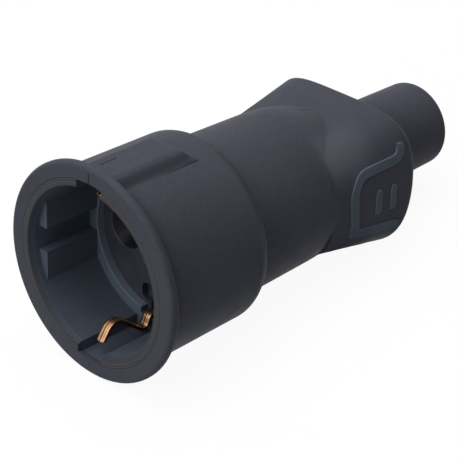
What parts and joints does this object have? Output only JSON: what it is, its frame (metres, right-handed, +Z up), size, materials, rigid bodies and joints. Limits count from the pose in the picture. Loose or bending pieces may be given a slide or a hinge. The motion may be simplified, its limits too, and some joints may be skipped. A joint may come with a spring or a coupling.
{
  "type": "inline socket connector",
  "caption": "Rewireable rubber inline socket: round flanged well with side earth clips and round pin entries, flared grip and a straight cord nozzle.",
  "frame": {"origin": "centre of the socket's mouth, in the plane of the front rim", "axes": "+Y along the socket's axis from the mouth to the cord nozzle, +Z up through the upper earth clip, +X across the two pin entries"},
  "size_m": [0.052, 0.1117, 0.052],
  "materials": {
    "housing_rubber": "matte moulded rubber with a fine grain",
    "shroud_plastic": "matte moulded thermoplastic, slightly blue-grey black",
    "carrier_plastic": "smooth moulded thermoset, half gloss",
    "insulator_plastic": "matte moulded thermoplastic",
    "contact_brass": "turned and pressed brass",
    "earth_bronze": "bright rolled spring bronze",
    "spring_steel": "bright spring steel",
    "screw_steel": "zinc plated steel"
  },
  "bodies": {
    "root": {"rubber_housing": "housing_rubber", "socket_shroud": "shroud_plastic", "contact_carrier": "carrier_plastic", "rear_insulator": "insulator_plastic", "clamp_bar": "insulator_plastic", "line_contact": "contact_brass", "neutral_contact": "contact_brass", "line_contact_spring": "spring_steel", "neutral_contact_spring": "spring_steel", "line_terminal_screw": "screw_steel", "neutral_terminal_screw": "screw_steel", "earth_clip_top": "earth_bronze", "earth_clip_bottom": "earth_bronze", "earth_bridge": "contact_brass", "earth_rivets": "contact_brass", "earth_terminal": "contact_brass", "earth_terminal_screw": "screw_steel", "centre_screw": "screw_steel", "clamp_screws": "screw_steel"}
  },
  "joints": []
}
